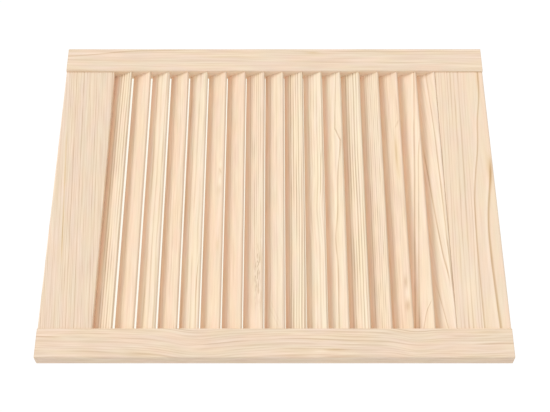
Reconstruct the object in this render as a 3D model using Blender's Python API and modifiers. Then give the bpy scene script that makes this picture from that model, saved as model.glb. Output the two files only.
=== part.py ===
"""Louvred cabinet door in solid pine, lying on its back.

Metres, +Z up. The front face looks up (+Z), the stiles run along X and the
slats along Y. The origin is the centre of the back face. Hung upright, -X is
up, so that the front edge of each slat is its lower edge.
"""

import math

import bmesh
import bpy
from mathutils import Matrix, Vector

# ---------------------------------------------------------------- dimensions
DOOR_LENGTH = 0.615          # along the stiles, X
DOOR_WIDTH = 0.494           # across the stiles, Y
STILE_WIDTH = 0.041
STILE_THICKNESS = 0.021
STILE_ARRIS = 0.0020         # rounding of the long edges

RAIL_THICKNESS = 0.0182      # flush with the stiles at the back, set back in front
TOP_RAIL_WIDTH = 0.0708      # wider by the lip over the first slat
BOTTOM_RAIL_WIDTH = 0.0702   # its inner edge is grooved for the last slat
RAIL_OUTER_ARRIS = 0.0024
TOP_INNER_ARRIS = 0.0010
BOTTOM_INNER_ARRIS = 0.0005
REBATE_DEPTH = 0.0014        # in the back of the top rail's inner edge
REBATE_HEIGHT = 0.0060

SLAT_COUNT = 17
SLAT_PITCH = 0.028
SLAT_ROW = 0.0002            # the row's middle lies this far towards the bottom rail
SLAT_WIDTH = 0.0298
SLAT_THICKNESS = 0.0048
SLAT_ARRIS = 0.0020
SLAT_TILT = math.radians(28.5)
SLAT_MID = 0.0098            # height of the slats' centre lines
SLAT_HOUSING = 0.0085        # how far a slat end goes into its stile

DOWEL_DIAMETER = 0.008
DOWEL_LENGTH = 0.040
DOWEL_CHAMFER = 0.0010
DOWEL_FLUTE = 0.0004
DOWEL_SPACING = 0.036
DOWEL_SIDES = 32

JOINT_GAP = 0.0003           # glue line between neighbouring pieces

OPENING_WIDTH = DOOR_WIDTH - 2 * STILE_WIDTH
STILE_Y = (DOOR_WIDTH - STILE_WIDTH) / 2
RAIL_MID = RAIL_THICKNESS / 2     # height of the rails' and dowels' middle
TOP_RAIL_X = -(DOOR_LENGTH - TOP_RAIL_WIDTH) / 2
BOTTOM_RAIL_X = (DOOR_LENGTH - BOTTOM_RAIL_WIDTH) / 2
RAIL_LENGTH = OPENING_WIDTH - 2 * JOINT_GAP
SLAT_LENGTH = OPENING_WIDTH + 2 * SLAT_HOUSING


# ------------------------------------------------------------------- helpers
def clear_scene():
    for obj in list(bpy.data.objects):
        bpy.data.objects.remove(obj, do_unlink=True)


def new_collection(name):
    collection = bpy.data.collections.new(name)
    bpy.context.scene.collection.children.link(collection)
    return collection


def wood(name, colour, roughness):
    material = bpy.data.materials.new(name)
    material.use_nodes = True
    shader = material.node_tree.nodes["Principled BSDF"]
    shader.inputs["Base Color"].default_value = (*colour, 1.0)
    shader.inputs["Roughness"].default_value = roughness
    shader.inputs["Metallic"].default_value = 0.0
    material.diffuse_color = (*colour, 1.0)
    return material


def place(obj, collection, material, location, rotation=(0.0, 0.0, 0.0)):
    obj.location = location
    obj.rotation_euler = rotation
    collection.objects.link(obj)
    if material is not None:
        obj.data.materials.append(material)
    return obj


def board_object(name, size, along, arris):
    """A board whose edges along one axis are rounded.

    arris(midpoint) gives the rounding of the long edge at that point.
    """
    bm = bmesh.new()
    bmesh.ops.create_cube(bm, size=1.0)
    bmesh.ops.scale(bm, vec=Vector(size), verts=bm.verts)
    weights = bm.edges.layers.float.new("bevel_weight_edge")
    widest = 0.0
    found = []
    for edge in bm.edges:
        run = edge.verts[0].co - edge.verts[1].co
        if abs(run[along]) > 0.5 * size[along]:
            width = arris((edge.verts[0].co + edge.verts[1].co) / 2)
            found.append((edge, width))
            widest = max(widest, width)
    for edge, width in found:
        edge[weights] = width / widest
    mesh = bpy.data.meshes.new(name)
    bm.to_mesh(mesh)
    bm.free()
    obj = bpy.data.objects.new(name, mesh)
    bevel = obj.modifiers.new("rounded_arris", "BEVEL")
    bevel.limit_method = "WEIGHT"
    bevel.width = widest
    bevel.segments = 4
    bevel.use_clamp_overlap = True
    return obj


def cut(obj, cutter, name):
    boolean = obj.modifiers.new(name, "BOOLEAN")
    boolean.operation = "DIFFERENCE"
    boolean.solver = "EXACT"
    boolean.object = cutter


def cutter_object(name, mesh, collection):
    obj = bpy.data.objects.new(name, mesh)
    obj.hide_render = True
    obj.display_type = "WIRE"
    collection.objects.link(obj)
    return obj


def slat_centres():
    first = SLAT_ROW - SLAT_PITCH * (SLAT_COUNT - 1) / 2
    return [first + SLAT_PITCH * i for i in range(SLAT_COUNT)]


def dowel_places():
    """(name, x, y) of each dowel's middle, on the joint between rail and stile."""
    joint_y = OPENING_WIDTH / 2 - JOINT_GAP / 2
    for rail, rail_x, outward in (("top", TOP_RAIL_X, -1), ("bottom", BOTTOM_RAIL_X, 1)):
        for stile, stile_side in (("left", -1), ("right", 1)):
            for spot, step in (("outer", 0.5), ("inner", -0.5)):
                x = rail_x + outward * step * DOWEL_SPACING
                yield f"dowel_{rail}_{stile}_{spot}", x, stile_side * joint_y


def dowel_mesh(name):
    """A fluted dowel along Y with chamfered ends."""
    radius = DOWEL_DIAMETER / 2
    straight = DOWEL_LENGTH - 2 * DOWEL_CHAMFER
    bm = bmesh.new()
    bmesh.ops.create_cone(
        bm,
        cap_ends=True,
        cap_tris=False,
        segments=DOWEL_SIDES,
        radius1=radius,
        radius2=radius,
        depth=straight,
    )
    for side in (-1, 1):
        cap = [f for f in bm.faces if f.normal.z * side > 0.9]
        grown = bmesh.ops.extrude_face_region(bm, geom=cap)
        tip = [v for v in grown["geom"] if isinstance(v, bmesh.types.BMVert)]
        bmesh.ops.delete(bm, geom=cap, context="FACES_ONLY")
        bmesh.ops.translate(bm, vec=(0, 0, side * DOWEL_CHAMFER), verts=tip)
        shrink = (radius - DOWEL_CHAMFER) / radius
        bmesh.ops.scale(bm, vec=(shrink, shrink, 1), verts=tip)
    # every fourth line of vertices moves in, which leaves eight glue flutes
    step = 2 * math.pi / DOWEL_SIDES
    for vert in bm.verts:
        turn = math.atan2(vert.co.y, vert.co.x) / step
        if round(turn) % 4 == 0:
            reach = math.hypot(vert.co.x, vert.co.y)
            inward = (reach - DOWEL_FLUTE) / reach
            vert.co.x *= inward
            vert.co.y *= inward
    bmesh.ops.rotate(
        bm, cent=(0, 0, 0), matrix=Matrix.Rotation(math.pi / 2, 3, "X"), verts=bm.verts
    )
    bmesh.ops.recalc_face_normals(bm, faces=bm.faces)
    mesh = bpy.data.meshes.new(name)
    bm.to_mesh(mesh)
    bm.free()
    return mesh


def bore_mesh(name):
    """All dowel bores at once, each half in a rail and half in a stile."""
    bm = bmesh.new()
    turn = Matrix.Rotation(math.pi / 2, 4, "X")
    for _, x, y in dowel_places():
        bmesh.ops.create_cone(
            bm,
            cap_ends=True,
            cap_tris=False,
            segments=DOWEL_SIDES,
            radius1=DOWEL_DIAMETER / 2 + JOINT_GAP,
            radius2=DOWEL_DIAMETER / 2 + JOINT_GAP,
            depth=DOWEL_LENGTH + 0.0012,
            matrix=Matrix.Translation((x, y, RAIL_MID)) @ turn,
        )
    mesh = bpy.data.meshes.new(name)
    bm.to_mesh(mesh)
    bm.free()
    return mesh


# --------------------------------------------------------------------- model
def build():
    clear_scene()
    door = new_collection("louvred_cabinet_door")
    cutters = new_collection("cutters")
    cutters.hide_render = True

    root = bpy.data.objects.new("door_origin", None)
    root.empty_display_size = 0.05
    door.objects.link(root)

    # cutter for the tilted mortises: a slat with the joint gap all round,
    # repeated at the slat pitch, long enough to reach into both stiles
    mortise = board_object(
        "mortise_cutter",
        (
            SLAT_WIDTH + 2 * JOINT_GAP,
            SLAT_LENGTH + 2 * JOINT_GAP,
            SLAT_THICKNESS + 2 * JOINT_GAP,
        ),
        along=1,
        arris=lambda mid: SLAT_ARRIS + JOINT_GAP,
    )
    mortise.hide_render = True
    mortise.display_type = "WIRE"
    place(
        mortise,
        cutters,
        None,
        (slat_centres()[0], 0.0, SLAT_MID),
        (0.0, -SLAT_TILT, 0.0),
    )
    row = mortise.modifiers.new("slat_pitch", "ARRAY")
    row.count = SLAT_COUNT
    row.use_relative_offset = False
    row.use_constant_offset = True
    # the array runs along the door, so its step is turned into the tilted frame
    row.constant_offset_displace = Matrix.Rotation(SLAT_TILT, 3, "Y") @ Vector(
        (SLAT_PITCH, 0.0, 0.0)
    )
    bores = cutter_object("dowel_bore_cutter", bore_mesh("dowel_bores"), cutters)

    # stiles: full length, all four long edges rounded, ends sawn square
    for name, side, colour in (
        ("left_stile", -1, (0.78, 0.62, 0.44)),
        ("right_stile", 1, (0.80, 0.64, 0.46)),
    ):
        stile = board_object(
            name,
            (DOOR_LENGTH, STILE_WIDTH, STILE_THICKNESS),
            along=0,
            arris=lambda mid: STILE_ARRIS,
        )
        place(
            stile,
            door,
            wood("pine_" + name, colour, 0.55),
            (0.0, side * STILE_Y, STILE_THICKNESS / 2),
        )
        stile.parent = root
        cut(stile, mortise, "slat_mortises")
        cut(stile, bores, "dowel_bores")

    # cutter for the rebate that the first slat's back edge sits in
    bm = bmesh.new()
    bmesh.ops.create_cube(bm, size=1.0)
    bmesh.ops.scale(
        bm,
        vec=(2 * REBATE_DEPTH, DOOR_WIDTH, 2 * REBATE_HEIGHT),
        verts=bm.verts,
    )
    mesh = bpy.data.meshes.new("rebate")
    bm.to_mesh(mesh)
    bm.free()
    rebate = cutter_object("rebate_cutter", mesh, cutters)
    rebate.location = (TOP_RAIL_X + TOP_RAIL_WIDTH / 2, 0.0, 0.0)

    # rails: between the stiles, set back from their front faces
    for name, x, width, inner, colour in (
        ("top_rail", TOP_RAIL_X, TOP_RAIL_WIDTH, TOP_INNER_ARRIS, (0.79, 0.62, 0.45)),
        ("bottom_rail", BOTTOM_RAIL_X, BOTTOM_RAIL_WIDTH, BOTTOM_INNER_ARRIS, (0.77, 0.60, 0.42)),
    ):
        rail = board_object(
            name,
            (width, RAIL_LENGTH, RAIL_THICKNESS),
            along=1,
            arris=lambda mid, outward=x, inner=inner: (
                RAIL_OUTER_ARRIS if mid.x * outward > 0 else inner
            ),
        )
        place(
            rail,
            door,
            wood("pine_" + name, colour, 0.55),
            (x, 0.0, RAIL_MID),
        )
        rail.parent = root
        cut(rail, bores, "dowel_bores")
        if name == "top_rail":
            cut(rail, rebate, "slat_rebate")
        else:
            cut(rail, mortise, "slat_groove")

    # louvre slats, numbered from the top rail down
    for i, x in enumerate(slat_centres(), start=1):
        name = f"louvre_slat_{i:02d}"
        slat = board_object(
            name,
            (SLAT_WIDTH, SLAT_LENGTH, SLAT_THICKNESS),
            along=1,
            arris=lambda mid: SLAT_ARRIS,
        )
        tone = 0.02 * math.sin(2.4 * i)
        place(
            slat,
            door,
            wood("pine_" + name, (0.86 + tone, 0.70 + tone, 0.51 + tone), 0.5),
            (x, 0.0, SLAT_MID),
            (0.0, -SLAT_TILT, 0.0),
        )
        slat.parent = root

    # beech dowels in the frame joints
    for name, x, y in dowel_places():
        dowel = bpy.data.objects.new(name, dowel_mesh(name))
        place(
            dowel,
            door,
            wood("beech_" + name, (0.66, 0.47, 0.31), 0.6),
            (x, y, RAIL_MID),
        )
        for polygon in dowel.data.polygons:
            polygon.use_smooth = abs(polygon.normal.y) < 0.5
        dowel.parent = root


build()
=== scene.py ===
"""Looks of the louvred cabinet door: unfinished pine, lying on its back.

Metres, +Z up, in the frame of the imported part. Each board is a mesh of its
own, built along its grain: local X runs along the grain, local Y across the
face and local Z through the thickness, so that the growth rings in its
material follow the board.
"""

import math

import bmesh
import bpy
from mathutils import Matrix, Vector


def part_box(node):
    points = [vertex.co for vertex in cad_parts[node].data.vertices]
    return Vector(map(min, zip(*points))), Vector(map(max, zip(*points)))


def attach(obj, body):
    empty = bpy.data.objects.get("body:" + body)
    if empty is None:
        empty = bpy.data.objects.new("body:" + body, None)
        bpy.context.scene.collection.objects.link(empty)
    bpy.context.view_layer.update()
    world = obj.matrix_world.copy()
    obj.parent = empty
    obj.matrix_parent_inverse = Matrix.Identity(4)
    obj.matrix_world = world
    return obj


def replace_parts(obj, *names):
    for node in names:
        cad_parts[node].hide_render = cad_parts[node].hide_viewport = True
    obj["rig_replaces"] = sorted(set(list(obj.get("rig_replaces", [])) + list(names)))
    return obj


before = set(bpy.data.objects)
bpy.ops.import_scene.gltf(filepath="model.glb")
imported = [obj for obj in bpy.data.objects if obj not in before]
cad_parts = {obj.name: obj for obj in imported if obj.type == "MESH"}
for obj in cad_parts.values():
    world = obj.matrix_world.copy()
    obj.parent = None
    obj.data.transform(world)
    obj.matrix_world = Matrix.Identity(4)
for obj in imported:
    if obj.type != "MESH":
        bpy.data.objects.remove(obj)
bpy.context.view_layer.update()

# ---------------------------------------------------------------- dimensions
STILE_ARRIS = 0.0020
RAIL_OUTER_ARRIS = 0.0024
TOP_INNER_ARRIS = 0.0010
BOTTOM_INNER_ARRIS = 0.0005
REBATE_DEPTH = 0.0014
REBATE_HEIGHT = 0.0042       # up to where the first slat's back edge fills it
SLAT_COUNT = 17
SLAT_WIDTH = 0.0298
SLAT_THICKNESS = 0.0048
SLAT_ARRIS = 0.0020
SLAT_TILT = math.radians(28.5)
DOWEL_BORE = 0.0043
FIT = 0.00005                # slats sit tight in their mortises
SHOULDER = 0.00012           # fine line at the shoulders of the rails
END_ROUND = 0.0005           # sanded end arris
ARC = 8                      # facets in a quarter round

SLATS = [f"louvre_slat_{i:02d}" for i in range(1, SLAT_COUNT + 1)]
DOWELS = sorted(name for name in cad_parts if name.startswith("dowel_"))


# ------------------------------------------------------------------ geometry
def outline(corners, inset):
    """Points round a section whose square corners are rounded.

    corners run anticlockwise as (across, depth, radius); inset moves every
    side inwards.
    """
    points = []
    for i, (across, depth, radius) in enumerate(corners):
        here = Vector((across, depth))
        run_in = (here - Vector(corners[i - 1][:2])).normalized()
        run_out = (Vector(corners[(i + 1) % len(corners)][:2]) - here).normalized()
        side_in = Vector((-run_in.y, run_in.x))
        side_out = Vector((-run_out.y, run_out.x))
        here = here + inset * (side_in + side_out)
        if radius == 0.0:
            points.append(here)
            continue
        reach = max(radius - inset, 0.1 * radius)
        centre = here - run_in * reach + side_in * reach
        for j in range(ARC + 1):
            turn = math.radians(90.0 * j / ARC)
            points.append(
                centre - side_in * reach * math.cos(turn) + run_in * reach * math.sin(turn)
            )
    return points


def lofted(name, length, corners, end_round, spans=1):
    """A board along X with that section and eased end edges."""
    stations = []
    for j in range(4):
        turn = math.radians(30.0 * j)
        stations.append(
            (
                -length / 2 + end_round * (1 - math.cos(turn)),
                end_round * (1 - math.sin(turn)),
            )
        )
    straight = length - 2 * end_round
    middle = [(-straight / 2 + straight * j / spans, 0.0) for j in range(1, spans)]
    stations = stations + middle + [(-x, inset) for x, inset in reversed(stations)]
    bm = bmesh.new()
    rings = []
    for x, inset in stations:
        rings.append([bm.verts.new((x, p.x, p.y)) for p in outline(corners, inset)])
    count = len(rings[0])
    for near, far in zip(rings, rings[1:]):
        for i in range(count):
            k = (i + 1) % count
            bm.faces.new((near[i], near[k], far[k], far[i]))
    bm.faces.new(rings[0])
    bm.faces.new(rings[-1])
    bmesh.ops.recalc_face_normals(bm, faces=bm.faces)
    mesh = bpy.data.meshes.new(name)
    bm.to_mesh(mesh)
    bm.free()
    return mesh


def rectangle(width, thickness, radii):
    """Section corners; radii in the order back low, back high, front high, front low."""
    y, z = width / 2, thickness / 2
    return [
        (-y, -z, radii[0]),
        (y, -z, radii[1]),
        (y, z, radii[2]),
        (-y, z, radii[3]),
    ]


def put(name, mesh, place):
    obj = bpy.data.objects.new(name, mesh)
    obj.matrix_world = place
    bpy.context.scene.collection.objects.link(obj)
    return obj


def bake_modifiers(obj):
    bpy.context.view_layer.update()
    graph = bpy.context.evaluated_depsgraph_get()
    mesh = bpy.data.meshes.new_from_object(
        obj.evaluated_get(graph), preserve_all_data_layers=True, depsgraph=graph
    )
    obj.modifiers.clear()
    old, name = obj.data, obj.data.name
    obj.data = mesh
    bpy.data.meshes.remove(old)
    mesh.name = name


def carve(obj, cutters):
    for cutter in cutters:
        boolean = obj.modifiers.new("cut", "BOOLEAN")
        boolean.operation = "DIFFERENCE"
        boolean.solver = "EXACT"
        boolean.object = cutter
    bake_modifiers(obj)


def shade(obj):
    """Smooth roundings, with the flat faces kept flat."""
    mesh = obj.data
    for polygon in mesh.polygons:
        polygon.use_smooth = True
    mesh.set_sharp_from_angle(angle=math.radians(34.0))
    even = obj.modifiers.new("even_shading", "WEIGHTED_NORMAL")
    even.mode = "FACE_AREA"
    even.weight = 100
    even.keep_sharp = True
    bake_modifiers(obj)


def middle_of(node):
    low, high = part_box(node)
    return (low + high) / 2, high - low


ALONG_Y = Matrix.Rotation(math.pi / 2, 4, "Z")


def slat_place(node):
    """Grain along the door's Y, face tilted so that the lower edge stands out in front."""
    middle, _ = middle_of(node)
    return (
        Matrix.Translation(middle) @ Matrix.Rotation(-SLAT_TILT, 4, "Y") @ ALONG_Y
    )


def slat_mesh(name, length, ease, end_round, spans):
    corners = rectangle(
        SLAT_WIDTH + 2 * ease, SLAT_THICKNESS + 2 * ease, [SLAT_ARRIS + ease] * 4
    )
    return lofted(name, length + 2 * ease, corners, end_round, spans)


def build_slats():
    made = []
    for node in SLATS:
        _, size = middle_of(node)
        mesh = slat_mesh(node + "_wood", size.y, 0.0, 0.0003, 12)
        obj = put(node + "_wood", mesh, slat_place(node))
        shade(obj)
        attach(obj, "root")
        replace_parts(obj, node)
        made.append(obj)
    return made


def cutter_set():
    """Mortises for every slat end, and the dowel bores."""
    cutters = []
    for node in SLATS:
        _, size = middle_of(node)
        cutters.append(
            put(
                "mortise_" + node,
                slat_mesh("mortise_" + node, size.y, FIT, 0.0003, 1),
                slat_place(node),
            )
        )
    bores = []
    for node in DOWELS:
        middle, size = middle_of(node)
        bm = bmesh.new()
        bmesh.ops.create_cone(
            bm,
            cap_ends=True,
            cap_tris=False,
            segments=32,
            radius1=DOWEL_BORE,
            radius2=DOWEL_BORE,
            depth=size.y + 0.0012,
            matrix=Matrix.Rotation(math.pi / 2, 4, "X"),
        )
        mesh = bpy.data.meshes.new("bore_" + node)
        bm.to_mesh(mesh)
        bm.free()
        bores.append(put("bore_" + node, mesh, Matrix.Translation(middle)))
    return joined("mortises", cutters), joined("bores", bores)


def joined(name, objs):
    """One mesh of several that don't touch."""
    bm = bmesh.new()
    for obj in objs:
        start = len(bm.verts)
        bm.from_mesh(obj.data)
        bm.verts.ensure_lookup_table()
        bmesh.ops.transform(bm, matrix=obj.matrix_world, verts=bm.verts[start:])
        old = obj.data
        bpy.data.objects.remove(obj, do_unlink=True)
        bpy.data.meshes.remove(old)
    mesh = bpy.data.meshes.new(name)
    bm.to_mesh(mesh)
    bm.free()
    return put(name, mesh, Matrix.Identity(4))


def build_frame(mortises, bores):
    made = []
    for node in ("left_stile", "right_stile"):
        middle, size = middle_of(node)
        corners = rectangle(size.y, size.z, [STILE_ARRIS] * 4)
        mesh = lofted(node + "_wood", size.x, corners, END_ROUND)
        obj = put(node + "_wood", mesh, Matrix.Translation(middle))
        carve(obj, [mortises, bores])
        made.append((obj, node, "pine_stile"))
    for node in ("top_rail", "bottom_rail"):
        middle, size = middle_of(node)
        y, z = size.x / 2, size.z / 2
        # local Y is the door's -X, so the top rail's inner edge is at low Y
        outer = RAIL_OUTER_ARRIS
        if node == "top_rail":
            inner = TOP_INNER_ARRIS
            corners = [
                (-y + REBATE_DEPTH, -z, 0.0),
                (y, -z, outer),
                (y, z, outer),
                (-y, z, inner),
                (-y, -z + REBATE_HEIGHT, 0.0),
                (-y + REBATE_DEPTH, -z + REBATE_HEIGHT, 0.0),
            ]
        else:
            inner = BOTTOM_INNER_ARRIS
            corners = [
                (-y, -z, outer),
                (y, -z, inner),
                (y, z, inner),
                (-y, z, outer),
            ]
        gap = (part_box("right_stile")[0].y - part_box("left_stile")[1].y - size.y) / 2
        mesh = lofted(node + "_wood", size.y + 2 * (gap - SHOULDER), corners, 0.0002)
        obj = put(node + "_wood", mesh, Matrix.Translation(middle) @ ALONG_Y)
        carve(obj, [mortises, bores])
        made.append((obj, node, "pine_rail"))
    for cutter in (mortises, bores):
        old = cutter.data
        bpy.data.objects.remove(cutter, do_unlink=True)
        bpy.data.meshes.remove(old)
    for obj, node, slot in made:
        shade(obj)
        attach(obj, "root")
        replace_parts(obj, node)
    return [obj for obj, _, _ in made]


# ----------------------------------------------------------------- materials
class Net:
    """Short ways to add nodes to a shader tree."""

    def __init__(self, tree):
        self.tree = tree

    def add(self, kind, **settings):
        node = self.tree.nodes.new("ShaderNode" + kind)
        for key, value in settings.items():
            setattr(node, key, value)
        return node

    def feed(self, socket, value):
        if isinstance(value, bpy.types.NodeSocket):
            self.tree.links.new(value, socket)
        else:
            socket.default_value = value

    def calc(self, operation, *values, clamp=False):
        node = self.add("Math", operation=operation, use_clamp=clamp)
        for socket, value in zip(node.inputs, values):
            self.feed(socket, value)
        return node.outputs[0]

    def plus(self, *values):
        total = values[0]
        for value in values[1:]:
            total = self.calc("ADD", total, value)
        return total

    def scaled(self, value, factor, offset=0.0):
        return self.calc("MULTIPLY_ADD", value, factor, offset)

    def step(self, value, start, end, low=0.0, high=1.0):
        """A smooth step; start may lie above end."""
        node = self.add("MapRange", interpolation_type="SMOOTHSTEP", clamp=True)
        for socket, x in zip(node.inputs, (value, start, end, low, high)):
            self.feed(socket, x)
        return node.outputs[0]

    def vector(self, x, y, z):
        node = self.add("CombineXYZ")
        for socket, value in zip(node.inputs, (x, y, z)):
            self.feed(socket, value)
        return node.outputs[0]

    def noise(self, vector, detail=1.0, roughness=0.5):
        node = self.add("TexNoise", noise_dimensions="3D")
        self.feed(node.inputs["Vector"], vector)
        node.inputs["Scale"].default_value = 1.0
        node.inputs["Detail"].default_value = detail
        node.inputs["Roughness"].default_value = roughness
        return node.outputs

    def line_noise(self, value, detail=1.0):
        node = self.add("TexNoise", noise_dimensions="1D")
        self.feed(node.inputs["W"], value)
        node.inputs["Scale"].default_value = 1.0
        node.inputs["Detail"].default_value = detail
        return node.outputs[0]

    def blend(self, factor, a, b, mode="MIX"):
        node = self.add("Mix", data_type="RGBA", blend_type=mode, clamp_factor=True)
        for socket, value in zip(
            (node.inputs[0], node.inputs[6], node.inputs[7]), (factor, a, b)
        ):
            self.feed(socket, value)
        return node.outputs[2]

    def hump(self, u, at, reach, height):
        """A smooth rise of that height round one place along the board."""
        x = self.scaled(u, 1.0 / reach, -at / reach)
        return self.scaled(
            self.calc("POWER", 1.0 / math.e, self.calc("MULTIPLY", x, x)), height
        )


def grain_group():
    """Growth rings, streaks, flecks and fibres of a pine board.

    Works in millimetres along (u), across (v) and through (w) the board. The
    pith runs beside or below the board; its distance gives the ring. Late and
    Tone count as depth of colour, so that they add up.
    """
    tree = bpy.data.node_groups.new("pine_grain", "ShaderNodeTree")
    face = tree.interface

    def entry(name, value):
        made = face.new_socket(name=name, in_out="INPUT", socket_type="NodeSocketFloat")
        made.default_value = value

    entry("u", 0.0)
    entry("v", 0.0)
    entry("w", 0.0)
    entry("Bend", 0.0)            # how far the lines are pushed across the board here
    entry("Pith across", 0.0)
    entry("Pith depth", -60.0)
    entry("Lean", 0.0)
    entry("Ring", 3.0)
    entry("Irregular", 1.5)       # how unevenly the rings are spaced
    entry("Uneven", 0.5)          # how much the rings differ in darkness
    entry("Wander", 3.0)
    entry("Wander length", 200.0)
    entry("Fuzz", 0.3)
    entry("Dash", 60.0)           # length over which a ring line fades and comes back
    entry("Lines", 0.3)
    entry("Pale", 0.3)            # part of each ring that is early wood
    entry("Streaks", 0.08)
    entry("Flecks", 0.10)
    entry("Fleck length", 20.0)
    entry("Fleck width", 1.1)
    entry("Seed", 0.0)
    for name in ("Late", "Tone", "Hue", "Warmth", "Relief", "Wobble"):
        face.new_socket(name=name, in_out="OUTPUT", socket_type="NodeSocketFloat")
    net = Net(tree)
    inside = tree.nodes.new("NodeGroupInput").outputs
    result = tree.nodes.new("NodeGroupOutput").inputs
    u, v, w, seed = inside["u"], inside["v"], inside["w"], inside["Seed"]

    def stretched(along, across, shift, side=v):
        return net.vector(
            net.plus(net.calc("DIVIDE", u, along), net.scaled(seed, 1.0, shift)),
            net.calc("DIVIDE", side, across),
            net.calc("DIVIDE", w, across),
        )

    def centred(value, amount):
        return net.calc("MULTIPLY", net.calc("SUBTRACT", value, 0.5), amount)

    slow = net.add("SeparateColor")
    net.feed(slow.inputs[0], net.noise(stretched(inside["Wander length"], 34.0, 3.7), 1.0)[1])
    quick = net.noise(stretched(34.0, 5.0, 11.3), 1.5)[0]
    double = net.calc("MULTIPLY", inside["Wander"], 2.0)
    wobble = net.plus(
        centred(slow.outputs[0], double),
        centred(quick, net.calc("MULTIPLY", inside["Fuzz"], 2.0)),
    )
    # across the grain, which leans and bends with the rings
    side = net.plus(
        v,
        wobble,
        net.calc("MULTIPLY", inside["Bend"], -1.0),
        net.calc("MULTIPLY", net.calc("MULTIPLY", u, inside["Lean"]), -1.0),
    )
    across = net.calc("SUBTRACT", side, inside["Pith across"])
    depth = net.plus(
        w,
        centred(slow.outputs[1], double),
        net.calc("MULTIPLY", inside["Pith depth"], -1.0),
    )
    radius = net.calc(
        "SQRT",
        net.plus(net.calc("MULTIPLY", across, across), net.calc("MULTIPLY", depth, depth)),
    )
    count = net.calc("DIVIDE", radius, inside["Ring"])
    count = net.plus(
        count,
        centred(
            net.line_noise(net.plus(net.scaled(count, 0.41), seed)),
            net.calc("MULTIPLY", inside["Irregular"], 2.0),
        ),
    )
    cell = net.calc("FLOOR", count)
    part = net.calc("FRACT", count)
    own = net.add("TexWhiteNoise", noise_dimensions="1D")
    net.feed(own.inputs["W"], net.plus(cell, seed))
    strong = net.calc(
        "SUBTRACT", 1.0, net.calc("MULTIPLY", own.outputs[0], inside["Uneven"])
    )
    band = net.calc("MULTIPLY", net.step(part, inside["Pale"], 0.80), net.step(part, 1.0, 0.86))
    fade = net.step(
        net.noise(stretched(inside["Dash"], 3.2, 23.1, side), 1.0)[0], 0.30, 0.66, 0.2, 1.3
    )
    late = net.calc("MULTIPLY", net.calc("MULTIPLY", band, strong), fade)
    net.feed(result["Late"], net.calc("MULTIPLY", late, inside["Lines"]))

    streak = net.noise(stretched(75.0, 2.6, 31.9, side), 1.5)[0]
    fleck = net.noise(
        stretched(inside["Fleck length"], inside["Fleck width"], 37.7, side), 0.0
    )[0]
    fibre = net.noise(stretched(9.0, 0.28, 41.3, side), 2.0, 0.6)[0]
    net.feed(
        result["Tone"],
        net.plus(
            centred(streak, net.calc("MULTIPLY", inside["Streaks"], 7.0)),
            centred(fleck, net.calc("MULTIPLY", inside["Flecks"], 7.0)),
            centred(fibre, net.calc("MULTIPLY", inside["Flecks"], 3.0)),
        ),
    )
    hue = net.add("SeparateColor")
    net.feed(hue.inputs[0], net.noise(stretched(55.0, 13.0, 53.7, side), 1.5)[1])
    net.feed(result["Hue"], hue.outputs[0])
    net.feed(result["Warmth"], hue.outputs[1])
    net.feed(
        result["Relief"],
        net.plus(net.scaled(late, 0.6), net.scaled(fibre, 0.55), net.scaled(fleck, 0.3)),
    )
    net.feed(result["Wobble"], wobble)
    return tree


GRAIN = grain_group()
DEPTH = (0.67, 0.585, 0.49)      # what one unit of depth leaves of the pale wood's colour
RESIN = (1.03, 0.98, 0.80)        # how one unit of resin warms it
PAINTED_SHADE_TINT = (1.030, 0.971, 0.968)     # painted shade: the redder tint that warm bounce light gives a slat's shaded strip
PAINTED_SHADE_BOOST = (1.0, 0.965, 0.972)       # and how much more of that painted shade some boards get


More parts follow.
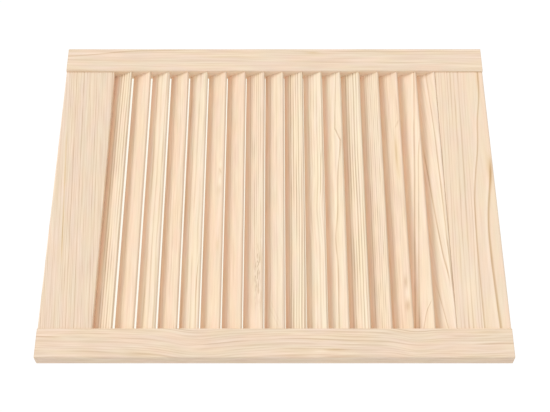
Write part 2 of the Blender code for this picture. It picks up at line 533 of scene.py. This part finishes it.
def pine(
    name,
    half_length,
    half_width,
    half_depth,
    grain,
    tint,
    bends=(),
    lines=(),
    patches=(),
    quiet=None,
    clear=None,
    arches=None,
    feather=None,
    painted_edge_shade=0.0,
    painted_shade_band=None,
    painted_shade_extra=0.0,
):
    """Unfinished pine for one board.

    tint     colour of the pale early wood
    grain    settings of the ring pattern
    bends    (at, reach, height) pushes on all lines along the board
    lines    single dark rings: dict(start, slope, turn=(size, at, reach),
             humps=[(at, reach, height)], span=(from, to), width, dark, warm)
    patches  (u, v, along, across, depth, warm) darker or, below zero, paler places
    quiet    (from, to) across the board, where the ring lines come up from nothing
    clear    the same along the board
    arches   (from, to, v, across, push) rings that close in nested points along the board
    feather  (u, v, along, across, push, stronger) a place with ruffled grain
    painted_edge_shade  how much painted shade darkens the planed edges against the face
    painted_shade_band  (from, to) across the board, where painted shade makes it ruddier, standing in for
    warm bounce light in the shaded strip painted_shade_extra  how much stronger that painted shade is than
    usual
    """
    material = bpy.data.materials.new(name)
    material.use_nodes = True
    tree = material.node_tree
    net = Net(tree)
    shader = tree.nodes["Principled BSDF"]
    place = net.add("SeparateXYZ")
    net.feed(place.inputs[0], net.add("TexCoord").outputs["Object"])
    u, v, w = (net.scaled(place.outputs[i], 1000.0) for i in range(3))

    def spot(at_u, at_v, along, wide):
        x = net.scaled(u, 1.0 / along, -at_u / along)
        y = net.scaled(v, 1.0 / wide, -at_v / wide)
        return net.plus(net.calc("MULTIPLY", x, x), net.calc("MULTIPLY", y, y))

    def bell(*where):
        return net.calc("POWER", 1.0 / math.e, spot(*where))

    push = 0.0
    for at, reach, height in bends:
        push = net.plus(net.hump(u, at, reach, height), push)
    if arches:
        begin, end, at_v, wide, shove = arches
        side = net.scaled(v, 1.0 / wide, -at_v / wide)
        crest = net.calc("POWER", 1.0 / math.e, net.calc("MULTIPLY", side, side))
        climb = net.scaled(u, 1.0 / (end - begin), -begin / (end - begin))
        climb = net.calc("MINIMUM", net.calc("MAXIMUM", climb, 0.0), 1.0)
        crest = net.calc("MULTIPLY", crest, climb)
        push = net.plus(net.scaled(crest, shove), push)
    if feather:
        at_u, at_v, along, wide, shove, stronger = feather
        ruffle = net.noise(
            net.vector(net.scaled(u, 0.075), net.scaled(v, 0.60), net.scaled(w, 0.30)), 1.0
        )[0]
        ruffle = net.calc("SUBTRACT", ruffle, 0.5)
        ruffled = bell(at_u, at_v, along, wide)
        push = net.plus(net.scaled(net.calc("MULTIPLY", ruffled, ruffle), 2.0 * shove), push)
    rings = net.add("Group", node_tree=GRAIN)
    for key, value in (("u", u), ("v", v), ("w", w), ("Bend", push)):
        net.feed(rings.inputs[key], value)
    for key, value in grain.items():
        rings.inputs[key].default_value = value
    got = rings.outputs

    deep = got["Late"]
    if quiet:
        deep = net.calc("MULTIPLY", deep, net.step(v, quiet[0], quiet[1]))
    if clear:
        deep = net.calc("MULTIPLY", deep, net.step(u, clear[0], clear[1]))
    if feather:
        deep = net.calc("MULTIPLY", deep, net.scaled(ruffled, stronger, 1.0))
    deep = net.plus(deep, got["Tone"])
    resin = 0.0
    for line in lines:
        course = net.scaled(u, line.get("slope", 0.0), line["start"])
        if "turn" in line:
            size, at, reach = line["turn"]
            bend = net.calc("TANH", net.scaled(u, 1.0 / reach, -at / reach))
            course = net.plus(course, net.scaled(bend, size))
        for at, reach, height in line.get("humps", ()):
            course = net.plus(course, net.hump(u, at, reach, height))
        course = net.plus(course, net.scaled(w, 0.6, -0.6 * half_depth))
        away = net.calc("SUBTRACT", v, course)
        away = net.plus(away, net.scaled(got["Wobble"], line.get("loose", 0.3)))
        away = net.scaled(away, line.get("side", 1.0) / line["width"])
        mark = net.calc("MULTIPLY", net.step(away, -1.0, -0.05), net.step(away, 0.35, 0.0))
        # the next ring starts with the palest wood
        next_ring = net.calc("MULTIPLY", net.step(away, 0.2, 0.6), net.step(away, 2.0, 0.6))
        mark = net.calc("SUBTRACT", mark, net.scaled(next_ring, 0.18))
        if "span" in line:
            begin, end = line["span"]
            soft = line.get("soft", 18.0)
            mark = net.calc("MULTIPLY", mark, net.step(u, begin - soft, begin + soft))
            mark = net.calc("MULTIPLY", mark, net.step(u, end + soft, end - soft))
        mark = net.calc("MULTIPLY", mark, net.step(got["Tone"], -0.15, 0.15, 0.75, 1.1))
        deep = net.plus(deep, net.scaled(mark, line["dark"]))
        resin = net.plus(net.scaled(net.calc("MAXIMUM", mark, 0.0), line.get("warm", 0.0)), resin)
    for at_u, at_v, along, wide, amount, warm in patches:
        mark = bell(at_u, at_v, along, wide)
        deep = net.plus(deep, net.scaled(mark, amount))
        resin = net.plus(net.scaled(mark, warm), resin)

    pink = tuple(c * k for c, k in zip(tint, (1.006, 0.986, 0.998))) + (1.0,)
    straw = tuple(c * k for c, k in zip(tint, (0.994, 1.012, 0.984))) + (1.0,)
    colour = net.blend(net.step(got["Hue"], 0.34, 0.66), straw, pink)
    # some places lean to red, others to white
    shift = net.blend(
        net.step(got["Warmth"], 0.34, 0.66), (0.984, 0.996, 1.012, 1.0), (1.016, 1.004, 0.988, 1.0)
    )
    colour = net.blend(1.0, colour, shift, "MULTIPLY")
    left = net.add("CombineColor")
    for i, (keep, warm) in enumerate(zip(DEPTH, RESIN)):
        net.feed(
            left.inputs[i],
            net.calc("MULTIPLY", net.calc("POWER", keep, deep), net.calc("POWER", warm, resin)),
        )
    colour = net.blend(1.0, colour, left.outputs[0], "MULTIPLY")
    # painted shade: across the shaded strip the colour turns ruddier, standing in for warm bounce light
    if painted_shade_band:
        shade_tint = tuple(c * k**painted_shade_extra for c, k in zip(PAINTED_SHADE_TINT, PAINTED_SHADE_BOOST))
        painted_shade_colour = net.blend(1.0, colour, shade_tint + (1.0,), "MULTIPLY")
        colour = net.blend(net.step(v, *painted_shade_band), colour, painted_shade_colour)
    # the sawn ends drink in light; the planed edges get painted shade, darker than the face
    end = net.step(net.calc("ABSOLUTE", u), half_length - 1.0, half_length - 0.2)
    pores = net.noise(net.vector(net.scaled(u, 0.4), net.scaled(v, 2.2), net.scaled(w, 2.2)), 2.0, 0.6)[0]
    sawn = net.blend(
        net.plus(net.scaled(got["Late"], 1.6, -0.25), pores),
        (tint[0] * 0.88, tint[1] * 0.82, tint[2] * 0.72, 1.0),
        (tint[0] * 0.68, tint[1] * 0.55, tint[2] * 0.40, 1.0),
    )
    colour = net.blend(net.scaled(end, 0.75), colour, sawn)
    # painted shade along both planed edges of the board
    edge = net.step(net.calc("ABSOLUTE", v), half_width - 1.0, half_width - 0.05)
    edge_shade_colour = (tint[0] * 0.80, tint[1] * 0.76, tint[2] * 0.72, 1.0)
    colour = net.blend(net.scaled(edge, painted_edge_shade), colour, edge_shade_colour)
    net.feed(shader.inputs["Base Color"], colour)

    rough = net.plus(
        net.scaled(got["Late"], -0.10, 0.60), net.scaled(got["Relief"], -0.08, 0.04)
    )
    net.feed(shader.inputs["Roughness"], net.plus(rough, net.scaled(end, 0.15)))
    shader.inputs["Specular IOR Level"].default_value = 0.32
    bump = net.add("Bump")
    bump.inputs["Strength"].default_value = 0.15
    bump.inputs["Distance"].default_value = 0.00006
    net.feed(bump.inputs["Height"], got["Relief"])
    net.feed(shader.inputs["Normal"], bump.outputs[0])
    return material


# the pale wood of the boards, from rosy to straw-coloured
ROSY = (0.919, 0.721, 0.538)
BUFF = (0.921, 0.747, 0.570)
HONEY = (0.942, 0.750, 0.568)
STRAW = (0.938, 0.776, 0.591)
CREAM = (0.949, 0.797, 0.611)
FRAME = (0.906, 0.720, 0.550)


# grain settings in millimetres, read along, across and through each board
def rings(ring, lines, lean=0.0, across=-120.0, depth=-60.0, **more):
    """Grain settings, with the usual values where none is given."""
    settings = {
        "Ring": ring,
        "Lines": lines,
        "Lean": lean,
        "Pith across": across,
        "Pith depth": depth,
        "Pale": 0.3,
        "Irregular": 0.8,
        "Uneven": 0.6,
        "Wander": 2.0,
        "Wander length": 220.0,
        "Fuzz": 0.3,
        "Dash": 60.0,
        "Streaks": 0.03,
        "Flecks": 0.04,
        "Fleck length": 32.0,
        "Fleck width": 1.6,
        "Seed": 0.0,
    }
    settings.update({key.replace("_", " "): value for key, value in more.items()})
    return settings


BOARDS = {
    "top_rail": dict(
        tint=FRAME,
        grain=rings(
            3.4, 0.50, 0.05, -160.0, -60.0, Seed=1.3, Pale=0.6, Uneven=0.7, Dash=55.0,
            Fuzz=0.15, Wander=1.5, Streaks=0.005, Flecks=0.08, Fleck_length=45.0, Fleck_width=0.8,
        ),
        lines=[
            dict(start=20.0, slope=0.0585, span=(-97, 90), width=1.8, dark=0.28, warm=0.9),
        ],
    ),
    "bottom_rail": dict(
        tint=HONEY,
        grain=rings(
            4.0, 0.42, -0.03, -52.0, -34.0, Seed=7.9, Pale=0.5, Irregular=0.5, Uneven=0.5,
            Dash=120.0, Streaks=0.015, Flecks=0.03, Wander=2.5,
        ),
        quiet=(-14.0, 4.0),
        lines=[
            dict(
                start=-14.0, turn=(-13.5, 60, 75), humps=[(118, 35, 3.5)],
                width=2.4, dark=0.7, warm=0.3,
            ),
            dict(
                start=-25.5, slope=0.03, turn=(-11.0, 0, 60), span=(-240, 48),
                width=3.6, dark=0.85, warm=0.5,
            ),
        ],
        patches=[
            (35, -29.5, 20, 3.2, 0.45, 0.6),
            (190, -26.5, 30, 2.5, 0.25, 0.4),
            (-150, 12, 40, 9.0, -0.15, 0.0),
        ],
    ),
    "left_stile": dict(
        tint=FRAME,
        grain=rings(
            3.1, 0.45, -0.012, -70.0, -55.0, Seed=3.1, Pale=0.4, Dash=60.0,
            Streaks=0.02, Flecks=0.06, Fleck_length=30.0, Wander=3.0, Wander_length=150.0,
        ),
        bends=[(-107, 30, -3.0), (-85, 60, -6.0), (182, 26, -4.5), (235, 60, -2.5)],
        patches=[
            (60, -11.3, 10, 1.3, -0.25, 0.0),
            (78, -9.5, 14, 1.4, 0.42, 0.3),
            (35, -9.5, 14, 1.3, 0.18, 0.1),
            # the next two paler patches on the inner arris at the rail joints are painted highlight
            (-272, 17.8, 36, 2.4, -0.15, 0.0),
            (272, 18.8, 30, 1.5, -0.10, 0.0),
            (272, 14.6, 34, 1.4, 0.14, 0.1),
        ],
    ),
    "right_stile": dict(
        tint=FRAME,
        grain=rings(
            6.0, 0.20, -0.012, 60.0, -50.0, Seed=5.7, Pale=0.45, Dash=90.0,
            Streaks=0.05, Flecks=0.06, Fleck_length=50.0, Wander=3.0,
        ),
        lines=[
            dict(start=12.4, turn=(6.0, -250, 45), span=(-330, -130), width=2.2, dark=0.45, warm=0.2),
            dict(start=15.5, span=(30, 300), width=1.8, dark=0.3),
        ],
        patches=[
            (-285, 14, 25, 4.0, -0.15, 0.0),
            (-60, 5.5, 22, 1.3, 0.15, 0.1),
            (57, 13, 9, 1.6, 0.25, 0.5),
            (182, 11.8, 28, 2.2, 0.08, 0.35),
            # the full-length dark band on the far outer arris is painted shade
            (0, 20.2, 5000, 1.1, 0.40, -0.5),
        ],
    ),
    "louvre_slat_01": dict(
        tint=STRAW,
        grain=rings(
            3.7, 0.84, 0.0, -118.75, Seed=11.0, Irregular=0.1, Uneven=0.35, Wander=0.8, Dash=80.0,
            Streaks=0.02,
        ),
        bends=[(200, 70, -1.1)],
        painted_shade_extra=0.7,
        quiet=(10.5, 5.0),
        # the full-length band at v=11.5 is painted shade over the slat's shaded back strip
        patches=[(0, 11.5, 400, 4.0, 0.08, 0.1)],
    ),
    "louvre_slat_02": dict(
        tint=ROSY,
        grain=rings(8.0, 0.11, 0.015, Seed=12.2, Streaks=0.065),
    ),
    "louvre_slat_03": dict(
        tint=STRAW,
        grain=rings(7.2, 0.60, 0.0, -124.0, Seed=13.4, Pale=0.45, Irregular=0.2, Uneven=0.4, Dash=80.0),
        painted_shade_extra=0.8,
        quiet=(11.5, 5.5),
    ),
    "louvre_slat_04": dict(
        tint=ROSY,
        grain=rings(3.0, 0.28, 0.02, Seed=14.6, Pale=0.4, Uneven=0.7, Dash=40.0, Flecks=0.065, Streaks=0.04),
    ),
    "louvre_slat_05": dict(
        tint=STRAW,
        painted_shade_extra=0.5,
        grain=rings(6.8, 0.43, -0.005, -122.3, Seed=15.8, Pale=0.45, Irregular=0.3, Uneven=0.4, Wander=3.0, Streaks=0.045),
        lines=[
            dict(
                start=-11.2, humps=[(-154, 25, 1.0), (-95, 20, -1.6)], span=(-230, -105),
                width=1.8, dark=0.7, warm=0.3,
            ),
        ],
    ),
    "louvre_slat_06": dict(
        tint=ROSY,
        grain=rings(8.0, 0.08, 0.0, Seed=17.0, Streaks=0.055),
        lines=[
            dict(start=-26.1, slope=0.46, span=(31, 40), soft=2.5, width=2.2, dark=0.24, loose=0.0),
        ],
        patches=[
            (46, -9.8, 7, 2.4, -0.25, 0.0),
            (35, -9.8, 4.5, 2.2, 0.14, 0.1),
            (19, -9.8, 8, 2.4, -0.2, 0.0),
            (5, -8.6, 8.0, 4.2, 0.16, 0.1),
            (-82, -8.5, 9, 2.5, 0.10, 0.3),
        ],
    ),
    "louvre_slat_07": dict(
        tint=ROSY,
        grain=rings(3.0, 0.19, 0.015, Seed=18.2, Pale=0.4, Uneven=0.7, Dash=50.0),
    ),
    "louvre_slat_08": dict(
        tint=BUFF,
        grain=rings(
            3.0, 0.62, 0.01, Seed=19.4, Pale=0.4, Irregular=0.25, Uneven=0.35, Wander=0.8,
            Dash=70.0, Streaks=0.01, Flecks=0.03,
        ),
        # this dark line along the nose arris is painted shade, deepening the arris's shading
        lines=[dict(start=-12.4, span=(-196, -92), width=1.6, dark=0.50, warm=0.1)],
        painted_shade_extra=0.5,
        quiet=(11.5, 5.5),
        clear=(-190, -160),
        arches=(-60, -180, -8.6, 6.5, 7.0),
        feather=(-122, -7.4, 46, 6.5, 5.0, 0.6),
    ),
    "louvre_slat_09": dict(
        tint=BUFF,
        painted_shade_extra=0.8,
        grain=rings(
            4.2, 0.31, 0.003, Seed=20.6, Pale=0.4, Uneven=0.4, Wander=3.0, Dash=60.0, Streaks=0.02,
        ),
        lines=[
            dict(start=84.0, slope=0.45, span=(-203, -172), soft=6.0, width=2.2, dark=0.14, loose=0.0),
            dict(start=70.0, slope=0.40, span=(-196, -160), soft=6.0, width=2.0, dark=0.12, loose=0.0),
        ],
    ),
    "louvre_slat_10": dict(
        tint=CREAM,
        grain=rings(
            3.5, 1.0, 0.0, -120.5, Seed=21.8, Irregular=0.08, Uneven=0.25, Wander=0.6, Dash=140.0,
            Streaks=0.01, Flecks=0.03,
        ),
        bends=[(-210, 90, 2.2)],
        lines=[
            dict(start=8.0, span=(-230, -140), width=1.4, dark=0.36, warm=0.1),
            dict(start=11.2, span=(-230, -150), width=1.4, dark=0.36, warm=0.1),
        ],
        painted_shade_extra=1.8,
        quiet=(11.5, 3.5),
        # the full-length band at v=11.5 is painted shade over the slat's shaded back strip
        patches=[(0, 11.5, 400, 4.5, 0.15, 0.0)],
    ),
    "louvre_slat_11": dict(
        tint=CREAM,
        grain=rings(
            4.0, 0.45, 0.0, -122.0, Seed=23.0, Pale=0.4, Irregular=0.2, Uneven=0.4, Wander=2.0,
            Dash=60.0, Streaks=0.02,
        ),
        bends=[(-27, 35, 3.0)],
        painted_shade_extra=0.8,
        quiet=(11.5, 5.5),
        lines=[dict(start=-9.3, slope=-0.044, span=(-2, 66), soft=8.0, width=1.8, dark=0.7, warm=0.3)],
    ),
    "louvre_slat_12": dict(
        tint=STRAW,
        painted_shade_extra=1.5,
        grain=rings(7.0, 0.18, 0.0, Seed=24.2),
        lines=[
            dict(start=0.8, slope=-0.0426, span=(107, 240), soft=3.0, width=2.2, dark=0.60),
            dict(start=-41.7, slope=0.348, span=(87, 108), soft=3.0, width=2.4, dark=0.68, loose=0.0),
            dict(
                start=-5.1, slope=-0.02, humps=[(86, 40, -5.0), (-70, 30, 3.6)],
                span=(-240, 88), soft=3.0, width=2.5, dark=0.64, warm=0.1,
            ),
        ],
    ),
    "louvre_slat_13": dict(
        tint=CREAM,
        grain=rings(
            3.6, 0.86, 0.0, -120.6, Seed=25.4, Irregular=0.1, Uneven=0.3, Wander=0.7, Dash=100.0,
            Streaks=0.01, Flecks=0.03,
        ),
        bends=[(200, 70, -1.4)],
        painted_shade_extra=1.5,
        quiet=(11.5, 6.0),
        # the full-length band at v=11.5 is painted shade over the slat's shaded back strip
        patches=[(0, 11.5, 400, 4.5, 0.15, 0.0)],
    ),
    "louvre_slat_14": dict(
        tint=BUFF,
        grain=rings(
            2.7, 0.55, -0.007, -119.2, Seed=26.6, Pale=0.4, Irregular=0.25, Uneven=0.4, Wander=0.8, Dash=40.0,
            Streaks=0.01, Flecks=0.04,
        ),
        painted_shade_extra=1.0,
        quiet=(11.5, 6.0),
    ),
    "louvre_slat_15": dict(
        tint=ROSY,
        grain=rings(4.0, 0.22, 0.005, Seed=27.8, Pale=0.4, Streaks=0.06, Flecks=0.055),
        lines=[
            dict(start=39.8, slope=-0.43, span=(109, 119), soft=3.0, width=4.0, dark=0.32, loose=0.0),
        ],
        patches=[
            (66, -6.6, 24, 1.7, 0.50, 0.5),
            (45, -7.5, 24, 4.5, 0.0, 0.35),
            (-154, -9.0, 9, 3.6, -0.2, 0.0),
            (-137, -8.2, 8.0, 2.2, 0.42, 0.1),
            (-172, -8.8, 7.0, 3.2, 0.48, 0.1),
            (30, -9.0, 10, 2.0, 0.08, 0.2),
        ],
    ),
    "louvre_slat_16": dict(
        tint=HONEY,
        grain=rings(9.0, 0.10, -0.05, Seed=29.0),
        lines=[
            dict(start=0.6, slope=-0.0610, width=2.5, dark=0.70),
            dict(
                start=-5.4, slope=-0.063, humps=[(100, 30, -2.0)], span=(-240, 84), soft=10.0,
                width=2.3, dark=0.57,
            ),
            dict(
                start=-49.7, slope=-0.25, humps=[(-164, 10, -4.0)], span=(-215, -166), soft=4.0,
                width=1.8, dark=0.6,
            ),
        ],
        patches=[(110, -9.0, 35, 2.4, -0.15, 0.0)],
    ),
    "louvre_slat_17": dict(
        tint=BUFF,
        grain=rings(9.0, 0.10, 0.08, Seed=30.2),
        lines=[
            dict(
                start=5.0, slope=0.093, humps=[(-135, 30, -3.0)], span=(-135, 72),
                width=2.4, dark=0.75, warm=0.2,
            ),
            dict(start=-9.9, slope=0.028, humps=[(215, 80, 3.2)], width=2.2, dark=0.68, warm=0.1),
            dict(start=33.0, slope=0.18, span=(-215, -143), width=1.8, dark=0.55),
        ],
        patches=[(60, -11.8, 32, 1.8, -0.2, 0.0), (35, 0.5, 25, 3.6, -0.12, 0.0)],
    ),
}


def beech(name):
    """Dowel wood: close straight grain with short dark flecks."""
    material = bpy.data.materials.new(name)
    material.use_nodes = True
    net = Net(material.node_tree)
    shader = material.node_tree.nodes["Principled BSDF"]
    place = net.add("SeparateXYZ")
    net.feed(place.inputs[0], net.add("TexCoord").outputs["Object"])
    x, y, z = (net.scaled(place.outputs[i], 1000.0) for i in range(3))

    def stretched(along, across, shift):
        return net.vector(
            net.calc("DIVIDE", x, across),
            net.scaled(y, 1.0 / along, shift),
            net.calc("DIVIDE", z, across),
        )

    broad = net.noise(stretched(30.0, 2.5, 1.0), 2.0)[0]
    fleck = net.noise(stretched(2.4, 0.35, 5.0), 1.0)[0]
    colour = net.blend(broad, (0.60, 0.40, 0.25, 1.0), (0.72, 0.52, 0.35, 1.0))
    colour = net.blend(net.step(fleck, 0.6, 0.72, 0.0, 0.5), colour, (0.40, 0.23, 0.12, 1.0))
    net.feed(shader.inputs["Base Color"], colour)
    net.feed(shader.inputs["Roughness"], net.scaled(fleck, -0.15, 0.70))
    bump = net.add("Bump")
    bump.inputs["Strength"].default_value = 0.3
    bump.inputs["Distance"].default_value = 0.00005
    net.feed(bump.inputs["Height"], fleck)
    net.feed(shader.inputs["Normal"], bump.outputs[0])
    return material


# --------------------------------------------------------------------- build
def main():
    boards = build_frame(*cutter_set()) + build_slats()
    for obj in boards:
        node = obj["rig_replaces"][0]
        half = [max(abs(vert.co[i]) for vert in obj.data.vertices) * 1000.0 for i in range(3)]
        obj.data.materials.clear()
        # a slat's back edge is hidden behind its neighbour: its shaded strip gets painted shade, and its
        # edges a painted edge shade
        slat = dict(painted_edge_shade=0.5, painted_shade_band=(4.0, 10.5)) if node in SLATS else {}
        obj.data.materials.append(pine("pine_" + node, *half, **slat, **BOARDS[node]))
    for node in DOWELS:
        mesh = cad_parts[node].data
        mesh.materials.clear()
        mesh.materials.append(beech("beech_" + node))


main()

# --------------------------------------------------------------------- stage
bm = bmesh.new()
bmesh.ops.create_grid(bm, x_segments=1, y_segments=1, size=4.0)
mesh = bpy.data.meshes.new("floor")
bm.to_mesh(mesh)
bm.free()
floor = put("floor", mesh, Matrix.Translation((0.0, 0.0, -0.0005)))
pale = bpy.data.materials.new("pale_floor")
pale.use_nodes = True
net = Net(pale.node_tree)
pale.node_tree.nodes.remove(pale.node_tree.nodes["Principled BSDF"])
glow = net.add("Emission")
# painted light: under the slats the floor's glow is tinted warm, as if lit by light bounced off the wood
# above it
spot = net.add("SeparateXYZ")
net.feed(spot.inputs[0], net.add("TexCoord").outputs["Object"])
painted_bounce_mask = net.calc(
    "MULTIPLY",
    net.step(net.calc("ABSOLUTE", spot.outputs[0]), 0.262, 0.240),
    net.step(net.calc("ABSOLUTE", spot.outputs[1]), 0.226, 0.206),
)
net.feed(
    glow.inputs["Color"],
    net.blend(painted_bounce_mask, (1.0, 1.0, 1.0, 1.0), (1.0, 0.955, 0.85, 1.0)),
)
net.feed(
    glow.inputs["Strength"],
    net.step(net.add("LightPath").outputs["Is Camera Ray"], 0.0, 1.0, 0.75, 1.04),
)
clear = net.add("BsdfTransparent")
pick = net.add("MixShader")
net.feed(pick.inputs[0], net.add("NewGeometry").outputs["Backfacing"])
net.feed(pick.inputs[1], glow.outputs[0])
net.feed(pick.inputs[2], clear.outputs[0])
net.feed(pale.node_tree.nodes["Material Output"].inputs["Surface"], pick.outputs[0])
mesh.materials.append(pale)

world = bpy.data.worlds.new("studio")
bpy.context.scene.world = world
world.use_nodes = True
net = Net(world.node_tree)
backdrop = world.node_tree.nodes["Background"]
backdrop.inputs["Color"].default_value = (1.0, 1.0, 1.0, 1.0)
net.feed(
    backdrop.inputs["Strength"],
    net.step(net.add("LightPath").outputs["Is Camera Ray"], 0.0, 1.0, 0.816, 1.04),
)

lamp = bpy.data.lights.new("key", "SUN")
lamp.energy = 0.910
lamp.angle = math.radians(22.0)
key = bpy.data.objects.new("key", lamp)
bpy.context.scene.collection.objects.link(key)
height, bearing = math.radians(34.3), math.radians(160.0)
towards = Vector(
    (
        math.cos(height) * math.cos(bearing),
        math.cos(height) * math.sin(bearing),
        math.sin(height),
    )
)
key.rotation_euler = (-towards).to_track_quat("-Z", "Y").to_euler()
bpy.context.scene.view_settings.view_transform = "Standard"

# -------------------------------------------------------------------- camera
lens = bpy.data.cameras.new("camera")
lens.sensor_width = 36.0
lens.lens = 73.335
lens.clip_start = 0.01
camera = bpy.data.objects.new("camera", lens)
camera.location = (0.0007, -0.7897, 1.3573)
camera.rotation_euler = (math.radians(29.81), 0.0, 0.0)
bpy.context.scene.collection.objects.link(camera)
bpy.context.scene.camera = camera
